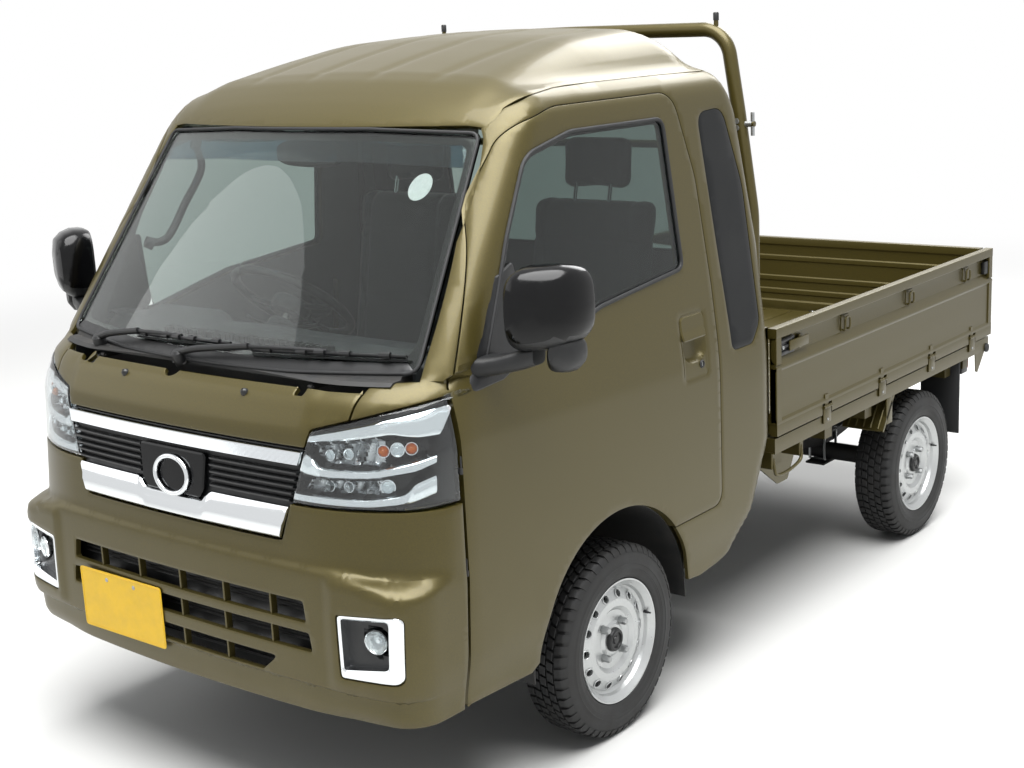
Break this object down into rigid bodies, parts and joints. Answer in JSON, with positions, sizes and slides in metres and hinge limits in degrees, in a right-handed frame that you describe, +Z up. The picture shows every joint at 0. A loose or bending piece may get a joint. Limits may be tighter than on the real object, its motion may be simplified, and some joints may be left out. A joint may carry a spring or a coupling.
{
  "type": "kei truck",
  "caption": "Small cab-over pickup truck with drop-side bed, rear guard frame, opening doors, steered front wheels and free-rolling wheels.",
  "frame": {"origin": "on the ground, in the middle of the overall box", "axes": "+Z up, the truck faces -Y, +X is the passenger side"},
  "size_m": [1.932, 3.395, 1.8849],
  "materials": {
    "body_paint": "metallic gloss",
    "clear_glass": "clear",
    "dark_glass": "smoked",
    "black_plastic": "satin",
    "tyre_rubber": "matt",
    "wheel_steel": "silver",
    "chassis_black": "satin",
    "cast_metal": "cast",
    "chrome_trim": "polished",
    "seat_fabric": "woven",
    "dash_plastic": "grained",
    "lamp_lens": "clear",
    "tail_lens": "gloss",
    "plate_yellow": "blank",
    "rubber": "matt"
  },
  "bodies": {
    "chassis": {"cab_roof": "body_paint", "cab_side_left": "body_paint", "cab_side_right": "body_paint", "cab_back": "body_paint", "cab_front": "body_paint", "cab_floor": "body_paint", "front_bumper": "body_paint", "grille": "chrome_trim", "front_lamps": "lamp_lens", "windscreen": "clear_glass", "fixed_windows": "dark_glass", "wipers": "black_plastic", "dashboard": "dash_plastic", "seats": "seat_fabric", "engine_block": "cast_metal", "chassis_frame": "chassis_black", "front_suspension": "chassis_black", "rear_axle": "cast_metal", "leaf_springs": "chassis_black", "propeller_shaft": "chassis_black", "fuel_tank": "chassis_black", "exhaust": "wheel_steel", "bed_deck": "body_paint", "guard_frame": "body_paint", "rear_mudguards": "rubber", "tail_lamps": "tail_lens", "number_plate": "plate_yellow"},
    "wheel_front_left": {"tyre_front_left": "tyre_rubber", "rim_front_left": "wheel_steel"},
    "wheel_front_right": {"tyre_front_right": "tyre_rubber", "rim_front_right": "wheel_steel"},
    "wheel_rear_left": {"tyre_rear_left": "tyre_rubber", "rim_rear_left": "wheel_steel"},
    "wheel_rear_right": {"tyre_rear_right": "tyre_rubber", "rim_rear_right": "wheel_steel"},
    "knuckle_left": {"knuckle_left": "cast_metal"},
    "door_left": {"door_left": "body_paint", "door_glass_left": "clear_glass", "mirror_left": "black_plastic"},
    "side_gate_left": {"side_gate_left": "body_paint"},
    "knuckle_right": {"knuckle_right": "cast_metal"},
    "door_right": {"door_right": "body_paint", "door_glass_right": "clear_glass", "mirror_right": "black_plastic"},
    "side_gate_right": {"side_gate_right": "body_paint"},
    "steering_wheel": {"steering_wheel": "dash_plastic"},
    "front_lid": {"front_lid": "body_paint"},
    "tail_gate": {"tail_gate": "body_paint"}
  },
  "joints": [
    {"name": "steer_left", "type": "hinge", "parent": "chassis", "child": "knuckle_left", "pos_m": [0.54, -0.815, 0.3], "axis": [0, 0, 1], "range_deg": [-35, 35]},
    {"name": "steer_right", "type": "hinge", "parent": "chassis", "child": "knuckle_right", "pos_m": [-0.54, -0.815, 0.3], "axis": [0, 0, 1], "range_deg": [-35, 35]},
    {"name": "steering_turn", "type": "hinge", "parent": "chassis", "child": "steering_wheel", "pos_m": [-0.35, -0.905, 1.12], "axis": [0, 0.6428, 0.766], "range_deg": [-630, 630]},
    {"name": "roll_front_left", "type": "hinge", "parent": "knuckle_left", "child": "wheel_front_left", "pos_m": [0.65, -0.815, 0.264], "axis": [1, 0, 0], "continuous": true},
    {"name": "roll_front_right", "type": "hinge", "parent": "knuckle_right", "child": "wheel_front_right", "pos_m": [-0.65, -0.815, 0.264], "axis": [1, 0, 0], "continuous": true},
    {"name": "roll_rear_left", "type": "hinge", "parent": "chassis", "child": "wheel_rear_left", "pos_m": [0.65, 1.085, 0.264], "axis": [1, 0, 0], "continuous": true},
    {"name": "roll_rear_right", "type": "hinge", "parent": "chassis", "child": "wheel_rear_right", "pos_m": [-0.65, 1.085, 0.264], "axis": [1, 0, 0], "continuous": true},
    {"name": "door_left_swing", "type": "hinge", "parent": "chassis", "child": "door_left", "pos_m": [0.733, -1.4415, 0.7], "axis": [0, 0, -1], "range_deg": [0, 70]},
    {"name": "door_right_swing", "type": "hinge", "parent": "chassis", "child": "door_right", "pos_m": [-0.733, -1.4415, 0.7], "axis": [0, 0, 1], "range_deg": [0, 70]},
    {"name": "front_lid_lift", "type": "hinge", "parent": "chassis", "child": "front_lid", "pos_m": [0, -1.556, 1.09], "axis": [-1, 0, 0], "range_deg": [0, 45]},
    {"name": "side_gate_left_drop", "type": "hinge", "parent": "chassis", "child": "side_gate_left", "pos_m": [0.732, 0.85, 0.65], "axis": [0, 1, 0], "range_deg": [0, 175]},
    {"name": "side_gate_right_drop", "type": "hinge", "parent": "chassis", "child": "side_gate_right", "pos_m": [-0.732, 0.85, 0.65], "axis": [0, -1, 0], "range_deg": [0, 175]},
    {"name": "tail_gate_drop", "type": "hinge", "parent": "chassis", "child": "tail_gate", "pos_m": [0, 1.692, 0.65], "axis": [-1, 0, 0], "range_deg": [0, 175]}
  ],
  "couplings": [
    {"joint": "steer_right", "follows": "steer_left", "ratio": 1},
    {"joint": "steering_turn", "follows": "steer_left", "ratio": 18}
  ]
}
